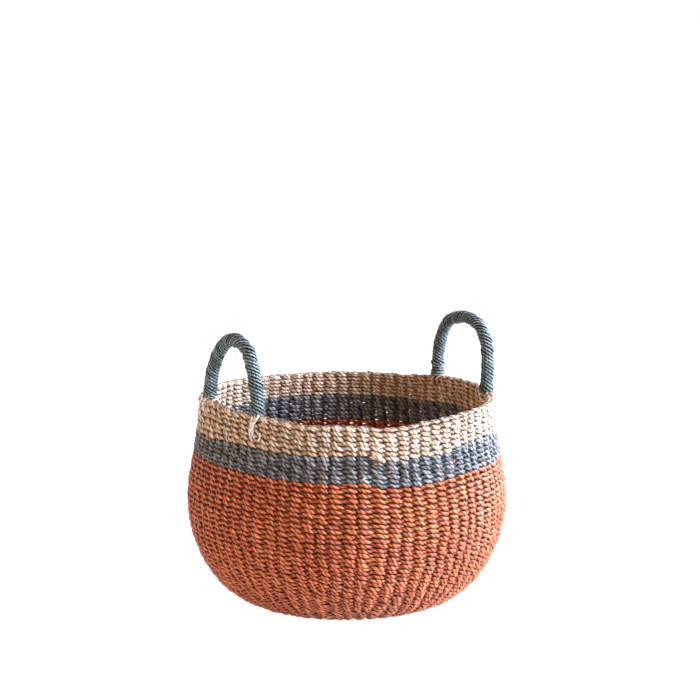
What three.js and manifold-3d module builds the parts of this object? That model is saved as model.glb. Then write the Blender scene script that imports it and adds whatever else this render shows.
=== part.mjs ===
// A round basket twined from abaca, with two rope handles that tilt on their lashings.
// Millimetres, +Z up. The origin is the middle of the underside. The handles stand near the ends of the X axis.
import * as THREE from 'three';
import { mergeVertices } from 'three/addons/utils/BufferGeometryUtils.js';
import Module from 'manifold-3d';

const wasm = await Module();
wasm.setup();

// Basket body
const baseRadius = 78;
const bellyRadius = 175;
const bellyHeight = 121;
const rimRadius = 162;
const rimHeight = 228;
const shoulderBend = 0.85;
const wallThickness = 9;
const floorThickness = 9;
const columns = 72;
const fluteDepth = 2;
const innerFluteDepth = 1;
const fluteFade = 2;
const slateBottom = 168;
const naturalBottom = 198;
const borderHeight = 8;
const borderNotch = 1;
const borderDip = 0.5;
const borderRoundness = 0.8;

// Handles
const leftSpan = 86;
const rightSpan = 102;
const leftArchRise = 56;
const rightArchRise = 44;
const handleRise = 80;
const handleTurn = 3.6;
const coreRadius = 4.8;
const flareLength = 17;
const eyeTwine = 2.1;
const eyeHalfWidth = 5.1;
const eyeHeight = 8.3;

// Windings on the handles
const wrapThickness = 2.2;
const wrapClearance = 0.4;
const wrapTurns = 10;
const wrapGap = 1.1;
const bandShoulder = 1;
const bandTip = 1.5;
const wrapEndLift = 4;
const whippingTurns = 4;
const whippingHeight = 17;
const whippingTwine = 3;

// Lashings
const lashingRadius = 1.6;
const lashingDrop = 23;
const lashingSpread = 2.3;
const lashingTail = 9;

// Fits
const clearance = 0.3;
const degree = Math.PI / 180;

// Mesh steps
const outerCurveSteps = 5;
const innerCurveSteps = 4;
const borderSteps = 5;
const coreSides = 12;
const coreSteps = 28;
const flareSteps = 3;
const eyeSides = 8;
const eyeSteps = 16;
const stepsPerTurn = 12;
const whippingSides = 5;
const lashingSides = 6;
const lashingSteps = 34;

const materials = {
  rust: { color: 0xb5623f, roughness: 0.85, metalness: 0 },
  slate: { color: 0x5f6a78, roughness: 0.85, metalness: 0 },
  natural: { color: 0xcbb491, roughness: 0.9, metalness: 0 },
  blueGrey: { color: 0x7f979f, roughness: 0.8, metalness: 0 },
};

// Helpers for solids

function welded(geometry) {
  geometry.deleteAttribute('normal');
  geometry.deleteAttribute('uv');
  return mergeVertices(geometry, 1e-4);
}

function toManifold(geometry) {
  const closed = welded(geometry);
  return new wasm.Manifold(new wasm.Mesh({
    numProp: 3,
    vertProperties: new Float32Array(closed.attributes.position.array),
    triVerts: new Uint32Array(closed.index.array),
  }));
}

function toGeometry(solid) {
  const mesh = solid.getMesh();
  const geometry = new THREE.BufferGeometry();
  geometry.setAttribute('position', new THREE.BufferAttribute(mesh.vertProperties, mesh.numProp));
  geometry.setIndex(new THREE.BufferAttribute(mesh.triVerts, 1));
  return geometry;
}

function makeMesh(name, geometry, material) {
  const mesh = new THREE.Mesh(geometry, new THREE.MeshStandardMaterial(materials[material]));
  mesh.name = name;
  return mesh;
}

// Basket wall: the outer face is a quarter ellipse up to the belly and an eased line from there to the rim

const ringMiddle = rimRadius - wallThickness / 2;

function outerRadius(z) {
  if (z <= bellyHeight) {
    const drop = 1 - z / bellyHeight;
    return baseRadius + (bellyRadius - baseRadius) * Math.sqrt(1 - drop * drop);
  }
  const rise = Math.min(1, (z - bellyHeight) / (rimHeight - bellyHeight));
  const ease = (1 + Math.cos(Math.PI * rise ** shoulderBend)) / 2;
  return rimRadius + (bellyRadius - rimRadius) * ease;
}

// A wall point at the angle 0 at the base and 90 degrees at the belly, inset from the outer face
function curvePoint(angle, inset) {
  const width = bellyRadius - baseRadius - inset;
  const depth = bellyHeight - inset * (floorThickness / wallThickness);
  return new THREE.Vector2(baseRadius + width * Math.sin(angle), bellyHeight - depth * Math.cos(angle));
}

function wallPoint(z, inset) {
  return new THREE.Vector2(outerRadius(z) - inset, z);
}

// A ring turned from a crest profile, with every second column line drawn in to the valley profile
function flutedRing(crest, valley) {
  const closedCrest = [...crest, crest[0].clone()];
  const closedValley = [...valley, valley[0].clone()];
  const geometry = new THREE.LatheGeometry(closedCrest, 2 * columns);
  const position = geometry.attributes.position;
  for (let line = 1; line < 2 * columns; line += 2) {
    const angle = (line / (2 * columns)) * 2 * Math.PI;
    closedValley.forEach((point, row) => {
      const index = line * closedValley.length + row;
      position.setXYZ(index, point.x * Math.sin(angle), point.y, point.x * Math.cos(angle));
    });
  }
  return geometry.rotateX(Math.PI / 2);
}

// Both profiles of a band between two heights: up the outer face, then down the inner face
function bandProfiles(bottom, top) {
  const profile = (outerInset, innerInset) => [
    wallPoint(bottom, outerInset),
    wallPoint(top, outerInset),
    wallPoint(top, innerInset),
    wallPoint(bottom, innerInset),
  ];
  return [profile(0, wallThickness), profile(fluteDepth, wallThickness - innerFluteDepth)];
}

function makeBase() {
  const disc = new THREE.CylinderGeometry(baseRadius, baseRadius, floorThickness, 2 * columns);
  disc.rotateX(Math.PI / 2);
  disc.translate(0, 0, floorThickness / 2);
  return disc;
}

function makeRustWall() {
  const top = slateBottom - clearance;
  const profile = (outerInset, innerInset) => {
    const points = [];
    for (let step = 0; step <= outerCurveSteps; step += 1) {
      const angle = (step / outerCurveSteps) * 90 * degree;
      const fade = Math.min(1, fluteFade * Math.sin(angle));
      points.push(curvePoint(angle, outerInset * fade));
    }
    points.push(wallPoint(top, outerInset), wallPoint(top, innerInset));
    for (let step = innerCurveSteps; step >= 0; step -= 1) {
      points.push(curvePoint((step / innerCurveSteps) * 90 * degree, innerInset));
    }
    points.forEach((point) => point.setX(point.x + clearance));
    return points;
  };
  return flutedRing(profile(0, wallThickness), profile(fluteDepth, wallThickness - innerFluteDepth));
}

function makeSlateBand() {
  return flutedRing(...bandProfiles(slateBottom, naturalBottom - clearance));
}

function makeNaturalBand() {
  return flutedRing(...bandProfiles(naturalBottom, rimHeight - borderHeight - clearance));
}

// Rim border: a round roll of the turned-over stake ends, with one hump for each column
function makeBorder() {
  const profile = (halfWidth, height) => {
    const points = [];
    for (let step = 0; step <= borderSteps; step += 1) {
      const angle = (step / borderSteps) * 180 * degree;
      const out = Math.cos(angle) * halfWidth;
      const up = Math.sin(angle) ** borderRoundness * height;
      points.push(new THREE.Vector2(ringMiddle + out, rimHeight - borderHeight + up));
    }
    return points;
  };
  const half = wallThickness / 2;
  return flutedRing(profile(half, borderHeight), profile(half - borderNotch, borderHeight - borderDip));
}

// Handle core: an arched rope with a swelling at each foot, where its end is turned back into an eye.
// The hinge line is the Y axis through the bottom limbs of both eyes.

const hingeLift = clearance + eyeTwine;
const hingeHeight = rimHeight + hingeLift;
const archHeight = handleRise - hingeLift;

// An arch of two straight legs and half an ellipse, from a height above the hinge line
class HandleLine extends THREE.Curve {
  constructor(halfSpan, archRise, start) {
    super();
    this.halfSpan = halfSpan;
    this.archRise = archRise;
    this.start = start;
  }

  getPoint(t, target = new THREE.Vector3()) {
    const { halfSpan, archRise } = this;
    const legHeight = archHeight - archRise;
    const leg = legHeight - this.start;
    const arc = (Math.PI * (halfSpan + archRise)) / 2;
    const length = 2 * leg + arc;
    const along = t * length;
    if (along < leg) {
      return target.set(0, -halfSpan, this.start + along);
    }
    if (along > leg + arc) {
      return target.set(0, halfSpan, this.start + length - along);
    }
    const angle = (Math.PI * (along - leg)) / arc;
    return target.set(0, -halfSpan * Math.cos(angle), legHeight + archRise * Math.sin(angle));
  }
}

class EyeLine extends THREE.Curve {
  getPoint(t, target = new THREE.Vector3()) {
    const angle = 2 * Math.PI * t;
    const rise = (eyeHeight / 2) * (1 - Math.cos(angle));
    return target.set(0, eyeHalfWidth * Math.sin(angle), rise);
  }
}

const eyeReach = eyeHalfWidth + eyeTwine;
const eyeMiddle = eyeHeight / 2;

// The core's radius at a height above the hinge line: as wide as the eye at its middle, then drawn in
function coreRadiusAt(height) {
  const share = THREE.MathUtils.clamp((height - eyeMiddle) / flareLength, 0, 1);
  return coreRadius + (eyeReach - coreRadius) * (1 - share) ** 2;
}

function regularSection(radius, sides) {
  const section = new THREE.Shape();
  for (let side = 0; side < sides; side += 1) {
    const angle = (2 * Math.PI * (side + 0.5)) / sides;
    section[side === 0 ? 'moveTo' : 'lineTo'](radius * Math.cos(angle), radius * Math.sin(angle));
  }
  section.closePath();
  return section;
}

function makeCore(halfSpan, archRise) {
  const ropeStart = eyeHeight - eyeTwine / 2;
  const rope = new THREE.ExtrudeGeometry(regularSection(coreRadius, coreSides), {
    steps: coreSteps,
    bevelEnabled: false,
    extrudePath: new HandleLine(halfSpan, archRise, ropeStart),
  });
  let core = toManifold(rope);
  const flareTop = eyeMiddle + flareLength;
  const flare = [new THREE.Vector2(0, ropeStart)];
  for (let step = 0; step <= flareSteps; step += 1) {
    const height = ropeStart + ((flareTop - ropeStart) * step) / flareSteps;
    flare.push(new THREE.Vector2(coreRadiusAt(height), height));
  }
  flare.push(new THREE.Vector2(0, flareTop));
  for (const side of [-1, 1]) {
    const eye = new THREE.TubeGeometry(new EyeLine(), eyeSteps, eyeTwine, eyeSides, true);
    eye.translate(0, side * halfSpan, 0);
    const foot = new THREE.LatheGeometry(flare, coreSides);
    foot.rotateX(Math.PI / 2);
    foot.translate(0, side * halfSpan, 0);
    core = core.add(toManifold(foot)).add(toManifold(eye));
  }
  return toGeometry(core);
}

// Winding: one flat group of strands, wound round the core as a single unbroken band. Its section lies
// in the plane through the core's line, so the band hugs the core where the handle bends.

function windingPoint(line, distance, angle, lift) {
  const length = line.getLength();
  const share = distance / length;
  const centre = line.getPointAt(share);
  const tangent = line.getTangentAt(share);
  const across = new THREE.Vector3(1, 0, 0);
  const up = new THREE.Vector3().crossVectors(tangent, across);
  const height = wrapEndLift + Math.min(distance, length - distance);
  const radius = (coreRadiusAt(height) + wrapClearance) / Math.cos(Math.PI / stepsPerTurn) + lift;
  centre.addScaledVector(across, radius * Math.cos(angle));
  return centre.addScaledVector(up, radius * Math.sin(angle));
}

// A closed band through a list of sections with the same number of points
function skinned(sections) {
  const count = sections[0].length;
  const vertices = sections.flat().flatMap((point) => point.toArray());
  const faces = [];
  for (let step = 0; step + 1 < sections.length; step += 1) {
    for (let side = 0; side < count; side += 1) {
      const next = (side + 1) % count;
      const a = step * count + side;
      const b = step * count + next;
      faces.push(a, b + count, b, a, a + count, b + count);
    }
  }
  const last = (sections.length - 1) * count;
  for (let side = 1; side + 1 < count; side += 1) {
    faces.push(0, side, side + 1, last, last + side + 1, last + side);
  }
  const geometry = new THREE.BufferGeometry();
  geometry.setAttribute('position', new THREE.Float32BufferAttribute(vertices, 3));
  geometry.setIndex(faces);
  return geometry;
}

// The band's section at one turn: a face on the core, two edges and a rounded back
function bandSection(line, low, high, angle) {
  const middle = (low + high) / 2;
  const shoulder = Math.min(bandShoulder, (high - low) / 4);
  const corners = [
    [low, 0],
    [middle, 0],
    [high, 0],
    [high, wrapThickness - shoulder],
    [high - shoulder, wrapThickness],
    [middle, wrapThickness],
    [low + shoulder, wrapThickness],
    [low, wrapThickness - shoulder],
  ];
  return corners.map(([distance, lift]) => windingPoint(line, distance, angle, lift));
}

function makeWinding(name, line, from, to) {
  const lead = (to - from) / wrapTurns;
  const edge = (turn) => from + bandTip + lead * turn;
  const lastTurn = wrapTurns + 1 - (2 * bandTip + wrapGap) / lead;
  const steps = Math.round(lastTurn * stepsPerTurn);
  const sections = [];
  for (let step = 0; step <= steps; step += 1) {
    const turn = (lastTurn * step) / steps;
    const high = Math.min(to, edge(turn));
    const low = Math.max(from, edge(turn - 1) + wrapGap);
    sections.push(bandSection(line, low, high, -2 * Math.PI * turn));
  }
  reportLeastGap(name, sections);
  return skinned(sections);
}

// Least gap between neighbouring turns, measured between the points of their facing edges
function reportLeastGap(name, sections) {
  let least = Infinity;
  sections.forEach((section, step) => {
    for (let shift = -2; shift <= 2; shift += 1) {
      const other = sections[step + stepsPerTurn + shift];
      if (!other) {
        continue;
      }
      for (const point of [section[2], section[3]]) {
        for (const facing of [other[0], other[7]]) {
          least = Math.min(least, point.distanceTo(facing));
        }
      }
    }
  });
  console.log(`${name}: least gap of the winding to itself ${least.toFixed(2)} mm`);
}

// Whipping: round twine in close flat turns over the core at one foot
function makeWhipping(line, from, to) {
  const lead = (to - from - whippingTwine) / whippingTurns;
  const sections = [];
  for (let step = 0; step <= whippingTurns * stepsPerTurn; step += 1) {
    const turn = step / stepsPerTurn;
    const middle = from + whippingTwine / 2 + lead * turn;
    const section = [];
    for (let side = 0; side < whippingSides; side += 1) {
      const around = (2 * Math.PI * side) / whippingSides;
      const distance = middle + (whippingTwine / 2) * Math.cos(around);
      const lift = (whippingTwine / 2) * (1 + Math.sin(around));
      section.push(windingPoint(line, distance, -2 * Math.PI * turn, lift));
    }
    sections.push(section);
  }
  return skinned(sections);
}

// Lashing: one twine through the wall below the rim, up both faces, and over the eye's bottom limb.
// Its points are given from the hinge line: out from the basket, along the rim and up.

// From the middle of the basket to the hinge line of a handle whose feet both stand on the rim
function hingeReach(halfSpan) {
  return Math.sqrt(ringMiddle ** 2 - halfSpan ** 2);
}

class LashingLine extends THREE.CatmullRomCurve3 {
  constructor(side, halfSpan) {
    const wallReach = (z, inset, along) => {
      return Math.sqrt((outerRadius(z) - inset) ** 2 - along ** 2) - hingeReach(halfSpan);
    };
    const lift = lashingRadius + clearance;
    const hole = rimHeight - lashingDrop;
    const shoulder = rimHeight - borderHeight / 2;
    const arch = eyeTwine + lift;
    const near = halfSpan - lashingSpread - lashingRadius;
    const far = halfSpan + lashingSpread + lashingRadius;
    const outside = (z) => wallReach(z, 0, near) + lift;
    const inside = (z) => wallReach(z, wallThickness, far) - lift;
    const point = (out, along, z) => new THREE.Vector3(out, side * along, z - hingeHeight);
    const start = halfSpan + lashingSpread;
    const end = halfSpan - lashingSpread;
    super([
      point(outside(hole - lashingTail), start, hole - lashingTail),
      point(outside(hole), start, hole),
      point(outside(shoulder - borderHeight), halfSpan + lashingSpread / 2, shoulder - borderHeight),
      point(outside(shoulder), halfSpan, shoulder),
      point(arch, halfSpan, hingeHeight),
      point(arch * Math.SQRT1_2, halfSpan, hingeHeight + arch * Math.SQRT1_2),
      point(0, halfSpan, hingeHeight + arch),
      point(-arch * Math.SQRT1_2, halfSpan, hingeHeight + arch * Math.SQRT1_2),
      point(-arch, halfSpan, hingeHeight),
      point(inside(shoulder), halfSpan, shoulder),
      point(inside(shoulder - borderHeight), halfSpan - lashingSpread / 2, shoulder - borderHeight),
      point(inside(hole + 3 * lashingRadius), end, hole + 3 * lashingRadius),
      point(inside(hole) + lashingRadius, end, hole),
      point(0, end, hole),
      point(outside(hole) - lashingRadius, end, hole),
      point(outside(hole - lashingTail), end, hole - lashingTail),
    ], false, 'centripetal');
  }
}

function makeLashing(side, halfSpan, radius) {
  return new THREE.ExtrudeGeometry(regularSection(radius, lashingSides), {
    steps: lashingSteps,
    bevelEnabled: false,
    extrudePath: new LashingLine(side, halfSpan),
  });
}

// Assembly

const basket = new THREE.Group();

// In a handle's own frame, X points out of the basket and Y runs along the hinge line
function makeHandle(side, halfSpan, archRise, facing) {
  const group = new THREE.Group();
  const reach = hingeReach(halfSpan);
  group.userData.halfSpan = halfSpan;
  group.position.set(reach * Math.cos(facing), reach * Math.sin(facing), hingeHeight);
  group.rotation.z = facing;
  const line = new HandleLine(halfSpan, archRise, wrapEndLift);
  const length = line.getLength();
  const whipped = side === 'right';
  const windingEnd = whipped ? length - whippingHeight - clearance : length;
  group.add(makeMesh(`${side}_handle_core`, makeCore(halfSpan, archRise), 'natural'));
  const winding = makeWinding(`${side}_handle_winding`, line, 0, windingEnd);
  group.add(makeMesh(`${side}_handle_winding`, winding, 'blueGrey'));
  if (whipped) {
    const whipping = makeWhipping(line, length - whippingHeight, length);
    group.add(makeMesh('right_rear_whipping', whipping, 'blueGrey'));
  }
  const front = side === 'left' ? 1 : -1;
  for (const [place, across] of [['front', front], ['rear', -front]]) {
    const lashing = makeLashing(across, halfSpan, lashingRadius);
    group.add(makeMesh(`${side}_${place}_lashing`, lashing, 'natural'));
  }
  return group;
}

// The lashings' holes in the natural band
function pierced(geometry, handles) {
  let band = toManifold(geometry);
  for (const handle of handles) {
    handle.updateMatrixWorld(true);
    for (const across of [-1, 1]) {
      const tunnel = makeLashing(across, handle.userData.halfSpan, lashingRadius + clearance);
      band = band.subtract(toManifold(tunnel.applyMatrix4(handle.matrixWorld)));
    }
  }
  return toGeometry(band);
}

const handles = [
  makeHandle('left', leftSpan / 2, leftArchRise, Math.PI + handleTurn * degree),
  makeHandle('right', rightSpan / 2, rightArchRise, -handleTurn * degree),
];
basket.add(makeMesh('base_weave', makeBase(), 'rust'));
basket.add(makeMesh('rust_wall', makeRustWall(), 'rust'));
basket.add(makeMesh('slate_band', makeSlateBand(), 'slate'));
basket.add(makeMesh('natural_band', pierced(makeNaturalBand(), handles), 'natural'));
basket.add(makeMesh('rim_border', makeBorder(), 'natural'));
handles.forEach((handle) => basket.add(handle));

export default basket;
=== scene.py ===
# %% [markdown]
# # A twined abaca basket with two wrapped handles
# The real basket is twined by hand. Stiff stakes run up the wall, seventy-two of them at the rim,
# and two thick twines go round them in a spiral. At each stake one twine passes outside and the
# other inside, then they cross. Everything here follows from that, so the wall is built from its
# twines and its stakes, and isn't a smooth shell with a picture of weaving on it.
#
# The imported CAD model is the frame. Each piece made below is placed in its coordinates, in
# metres, and rides on one of its bodies.

# %% The frame
import math

import bmesh
import bpy
import numpy as np
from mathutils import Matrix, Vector


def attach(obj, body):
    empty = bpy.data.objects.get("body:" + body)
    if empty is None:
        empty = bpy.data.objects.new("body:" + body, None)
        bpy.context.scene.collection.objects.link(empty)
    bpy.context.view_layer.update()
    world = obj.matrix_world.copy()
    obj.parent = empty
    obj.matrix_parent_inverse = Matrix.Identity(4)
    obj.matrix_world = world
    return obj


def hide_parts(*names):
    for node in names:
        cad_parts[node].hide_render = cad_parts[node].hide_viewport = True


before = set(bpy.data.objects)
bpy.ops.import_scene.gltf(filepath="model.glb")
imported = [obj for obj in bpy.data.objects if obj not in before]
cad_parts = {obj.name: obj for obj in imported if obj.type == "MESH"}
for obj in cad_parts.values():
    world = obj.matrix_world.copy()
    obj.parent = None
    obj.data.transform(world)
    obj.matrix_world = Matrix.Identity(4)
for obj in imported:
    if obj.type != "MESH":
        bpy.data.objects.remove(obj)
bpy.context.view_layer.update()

# %% [markdown]
# ## Camera
# The photograph was taken from nearly four metres with a long lens, a little above the rim. A
# long lens keeps the rim's ellipse flat. The camera stands on the line that looks 12.4 degrees
# down at the middle of the body, and is then aimed a little higher, as the photograph is, so
# the basket sits low in the frame. Aiming does this without lens shift.

# %% The camera
PICTURE = 700
SENSOR, LENS = 36, 180
FOCUS = Vector((0, 0, 0.1145))
DISTANCE = 3.85
AZIMUTH, ELEVATION = math.radians(-34), math.radians(12.4)
AIM_UP, AIM_RIGHT = 149.8, 3.3  # pixels of the picture

back = Vector((
    math.sin(AZIMUTH) * math.cos(ELEVATION),
    -math.cos(AZIMUTH) * math.cos(ELEVATION),
    math.sin(ELEVATION),
))
right = Vector((math.cos(AZIMUTH), math.sin(AZIMUTH), 0))
up = back.cross(right)
focal = LENS / SENSOR * PICTURE
aim = -back + up * (AIM_UP / focal) + right * (AIM_RIGHT / focal)

bpy.ops.object.camera_add(location=FOCUS + back * DISTANCE)
camera = bpy.context.object
camera.data.lens = LENS
camera.data.clip_end = 50
camera.rotation_euler = aim.to_track_quat("-Z", "Y").to_euler()
bpy.context.scene.camera = camera
bpy.context.scene.view_settings.view_transform = "Standard"
print("camera at", [round(value, 3) for value in camera.location])

# %% [markdown]
# ## One helper for nodes and one for colours
# A material is a small network. The helper adds one node, sets what it is told to set, and links
# the inputs that are given as sockets. Colours are written as sRGB hex values, as a colour picker
# shows them, and turned to the linear values that the shaders work in.

# %% Helpers for materials
def add_node(tree, kind, inputs=None, **settings):
    made = tree.nodes.new(kind)
    for name, value in settings.items():
        setattr(made, name, value)
    for name, value in (inputs or {}).items():
        if isinstance(value, bpy.types.NodeSocket):
            tree.links.new(value, made.inputs[name])
        else:
            made.inputs[name].default_value = value
    return made


def linear(hex_colour):
    parts = [int(hex_colour[i:i + 2], 16) / 255 for i in (0, 2, 4)]
    return [v / 12.92 if v <= 0.04045 else ((v + 0.055) / 1.055) ** 2.4 for v in parts] + [1]


def new_material(name):
    material = bpy.data.materials.new(name)
    material.use_nodes = True
    material.node_tree.nodes.clear()
    return material, material.node_tree


def seen_directly(tree):
    rays = add_node(tree, "ShaderNodeLightPath")
    seen = add_node(tree, "ShaderNodeMath",
                    {0: rays.outputs["Is Camera Ray"], 1: rays.outputs["Is Glossy Ray"]},
                    operation="MAXIMUM")
    return seen.outputs[0]


# %% [markdown]
# ## Floor
# The basket was photographed on a white sweep, so bright that its shadow hardly shows. The floor
# is a pale matt sheet that is lit like the basket and gives it some light from below. The camera
# sees a quarter of that sheet's shading and a white glow, so only a trace of a shadow stays. No
# extra light falls on the basket for that.

# %% The floor
FLOOR_RADIUS = 14
SEEN_SHADING, SEEN_GLOW = 0.2, 0.965

bpy.ops.mesh.primitive_circle_add(vertices=64, radius=FLOOR_RADIUS, fill_type="NGON",
                                  location=(0, 0, 0))
floor = bpy.context.object
floor.name = "floor"
paper, tree = new_material("matt_white_paper_sweep")
sheet = add_node(tree, "ShaderNodeBsdfDiffuse", {"Color": linear("e6e6e4")})
faint = add_node(tree, "ShaderNodeBsdfDiffuse", {"Color": [SEEN_SHADING] * 3 + [1]})
white = add_node(tree, "ShaderNodeEmission", {"Color": linear("ffffff"), "Strength": SEEN_GLOW})
shown = add_node(tree, "ShaderNodeAddShader", {0: faint.outputs[0], 1: white.outputs[0]})
both = add_node(tree, "ShaderNodeMixShader",
                {0: seen_directly(tree), 1: sheet.outputs[0], 2: shown.outputs[0]})
add_node(tree, "ShaderNodeOutputMaterial", {"Surface": both.outputs[0]})
floor.data.materials.append(paper)

# %% [markdown]
# ## Surroundings
# The camera sees the world as plain white. As a light it is weak, so the shadows between the
# twines stay dark.

# %% The world
WORLD_LIGHT = 0.175

world = bpy.data.worlds.new("white_studio")
bpy.context.scene.world = world
world.use_nodes = True
tree = world.node_tree
tree.nodes.clear()
strength = add_node(tree, "ShaderNodeMapRange",
                    {"Value": seen_directly(tree), "To Min": WORLD_LIGHT, "To Max": 1.0})
air = add_node(tree, "ShaderNodeBackground",
               {"Color": linear("fffdfa"), "Strength": strength.outputs[0]})
add_node(tree, "ShaderNodeOutputWorld", {"Surface": air.outputs[0]})
print("floor and world are white to the camera")

# %% [markdown]
# ## Light
# Most of the light comes from windows on the right: a high and a low one a little in front, and
# one behind. It catches the right ends of the stitches, grazes the right flank, and falls through
# the mouth on the inner wall at the left. The front left is lit by the room, so it is weaker and
# warmer. Each window's place is given in metres from the middle of the basket: how far to the
# right, how far towards the camera and how far up. Its size, power and colour follow.

# %% The lights
MIDDLE = Vector((0, 0, 0.15))
WINDOWS = {
    "window_right": (2.0, 0.55, 1.25, 1.2, 114, "dbe4fa"),
    "window_right_low": (2.3, 0.3, 0.3, 1.6, 116, "dbe4fa"),
    "window_back": (1.5, -1.3, 1.3, 0.8, 105, "d6e4ff"),
    "room_front": (-1.5, 1.9, 0.6, 1.4, 29, "ffcb96"),
}

toward = Vector((back.x, back.y, 0)).normalized()
for name, (beside, ahead, above, size, power, colour) in WINDOWS.items():
    place = MIDDLE + right * beside + toward * ahead + Vector((0, 0, above))
    bpy.ops.object.light_add(type="AREA", location=place)
    window = bpy.context.object
    window.name = name
    window.data.shape = "DISK"
    window.data.size = size
    window.data.energy = power
    window.data.color = linear(colour)[:3]
    window.rotation_euler = (MIDDLE - place).to_track_quat("-Z", "Y").to_euler()
print(len(WINDOWS), "lights")

# %% [markdown]
# ## Abaca twine as a material
# Abaca is the fibre of a banana plant, dyed in the hank and laid up into twine. It is matt, with
# a faint sheen where the fibres lie side by side. Three things make it look real. Each stitch
# takes the dye a little differently, the fibres show as fine streaks along each strand, and shade
# is painted into the colour in the grooves between the strands and down between the twines. The
# streaks and the painted grooves follow the twine, so they are drawn on its own UV map, which
# holds metres along the twine and shares of a turn round it. How far each point lies below the
# face of the weave is held in the attribute "sunk", and the painted shade deepens with it. Abaca
# fibre is about 0.2 mm thick, which is too fine to show here, so the streaks are 0.7 mm wide.
#
# A cosine that runs once round for each strand is 1 at the bottom of a groove. There the painted
# shade leaves a fifth of the dye showing, and it has faded out where the cosine is 0.1. In the
# same way the painted shade sets in where a point lies 0.5 mm below the face of the weave and is
# full at 1.9 mm.

# %% The abaca material
STRANDS = 2
TWINE_GIRTH = 0.014
STREAK_WIDTH, STREAK_LENGTH = 0.0007, 0.012
FIBRE_RELIEF = 0.0006
PATCHES_PER_METRE = 90  # the dye takes unevenly, in patches of about 11 mm
# Depths in metres where the painted shade sets in and where it is full.
SUNK = 0.0005, 0.0019
# Cosines where the painted shade in a strand's groove is fullest and gone, and the dye left at its
# fullest.
GROOVE_COSINE = 1.0, 0.1
GROOVE_CLEAR = 0.2


# pale and deep span the dye; groove is the colour of the painted shade.
def make_abaca(name, pale, deep, groove, strands=STRANDS, streak_depth=0.35, roughness=0.42,
               shine=0.6, sheen=0.5, spread=0.75):
    material, tree = new_material(name)
    around = add_node(tree, "ShaderNodeUVMap", uv_map="twine")
    stretched = add_node(tree, "ShaderNodeVectorMath",
                         {0: around.outputs["UV"],
                          1: (1 / STREAK_LENGTH, TWINE_GIRTH / STREAK_WIDTH, 1)},
                         operation="MULTIPLY")
    streaks = add_node(tree, "ShaderNodeTexNoise",
                       {"Vector": stretched.outputs[0], "Scale": 1.0, "Detail": 3,
                        "Roughness": 0.6})
    place = add_node(tree, "ShaderNodeTexCoord")
    patches = add_node(tree, "ShaderNodeTexNoise",
                       {"Vector": place.outputs["Object"], "Scale": PATCHES_PER_METRE,
                        "Detail": 2})
    tone = add_node(tree, "ShaderNodeAttribute", attribute_name="tone")
    mixed = add_node(tree, "ShaderNodeMath",
                     {0: tone.outputs["Fac"], 1: streaks.outputs["Fac"]}, operation="ADD")
    mixed = add_node(tree, "ShaderNodeMath",
                     {0: mixed.outputs[0], 1: patches.outputs["Fac"]}, operation="ADD")
    # Each of the three lies round a half, so their sum lies round 1.5.
    share = add_node(tree, "ShaderNodeMapRange",
                     {"Value": mixed.outputs[0], "From Min": 1.5 - spread,
                      "From Max": 1.5 + spread})
    dyed = add_node(tree, "ShaderNodeMix",
                    {0: share.outputs[0], 6: linear(deep), 7: linear(pale)}, data_type="RGBA")
    # Painted shade: the groove colour is mixed in by how deep a point lies, and across the grooves
    # between strands.
    sunk = add_node(tree, "ShaderNodeAttribute", attribute_name="sunk")
    clear = add_node(tree, "ShaderNodeMapRange",
                     {"Value": sunk.outputs["Fac"], "From Min": SUNK[1], "From Max": SUNK[0]})
    if strands:
        parts = add_node(tree, "ShaderNodeSeparateXYZ", {"Vector": around.outputs["UV"]})
        turned = add_node(tree, "ShaderNodeMath",
                          {0: parts.outputs["Y"], 1: strands * math.tau}, operation="MULTIPLY")
        crest = add_node(tree, "ShaderNodeMath", {0: turned.outputs[0]}, operation="COSINE")
        open_groove = add_node(tree, "ShaderNodeMapRange",
                               {"Value": crest.outputs[0], "From Min": GROOVE_COSINE[0],
                                "From Max": GROOVE_COSINE[1], "To Min": GROOVE_CLEAR})
        clear = add_node(tree, "ShaderNodeMath",
                         {0: open_groove.outputs[0], 1: clear.outputs[0]}, operation="MULTIPLY")
    colour = add_node(tree, "ShaderNodeMix",
                      {0: clear.outputs[0], 6: linear(groove), 7: dyed.outputs[2]},
                      data_type="RGBA")
    fibres = add_node(tree, "ShaderNodeBump",
                      {"Strength": streak_depth, "Distance": FIBRE_RELIEF,
                       "Height": streaks.outputs["Fac"]})
    # The specular level drops where shade is painted.
    glint = add_node(tree, "ShaderNodeMath", {0: clear.outputs[0], 1: shine},
                     operation="MULTIPLY")
    finish = add_node(tree, "ShaderNodeBsdfPrincipled",
                      {"Base Color": colour.outputs[2], "Roughness": roughness, "IOR": 1.45,
                       "Specular IOR Level": glint.outputs[0], "Sheen Weight": sheen,
                       "Sheen Roughness": 0.3, "Normal": fibres.outputs[0]})
    add_node(tree, "ShaderNodeOutputMaterial", {"Surface": finish.outputs[0]})
    return material


# The third colour of each is the painted shade of the grooves and of the places that lie deep.
rust_abaca = make_abaca("rust_dyed_abaca", "ee8242", "c05018", "3a1208", shine=1.0, sheen=0.35)
slate_abaca = make_abaca("slate_dyed_abaca", "a8acae", "585858", "101010")
natural_abaca = make_abaca("undyed_abaca", "f2e0c8", "d0b08c", "5c3e28")
# A paler copy of the undyed abaca: painted light on the lashings that catch the light, and pale
# fibre in one loose end.
pale_fibre_and_painted_light_abaca = make_abaca("pale_fibre_and_painted_light_abaca", "fffaf4", "e8dac8", "8d7460", shine=0.9)
print("abaca in rust, slate, natural and a paler one for the lashings")

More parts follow.
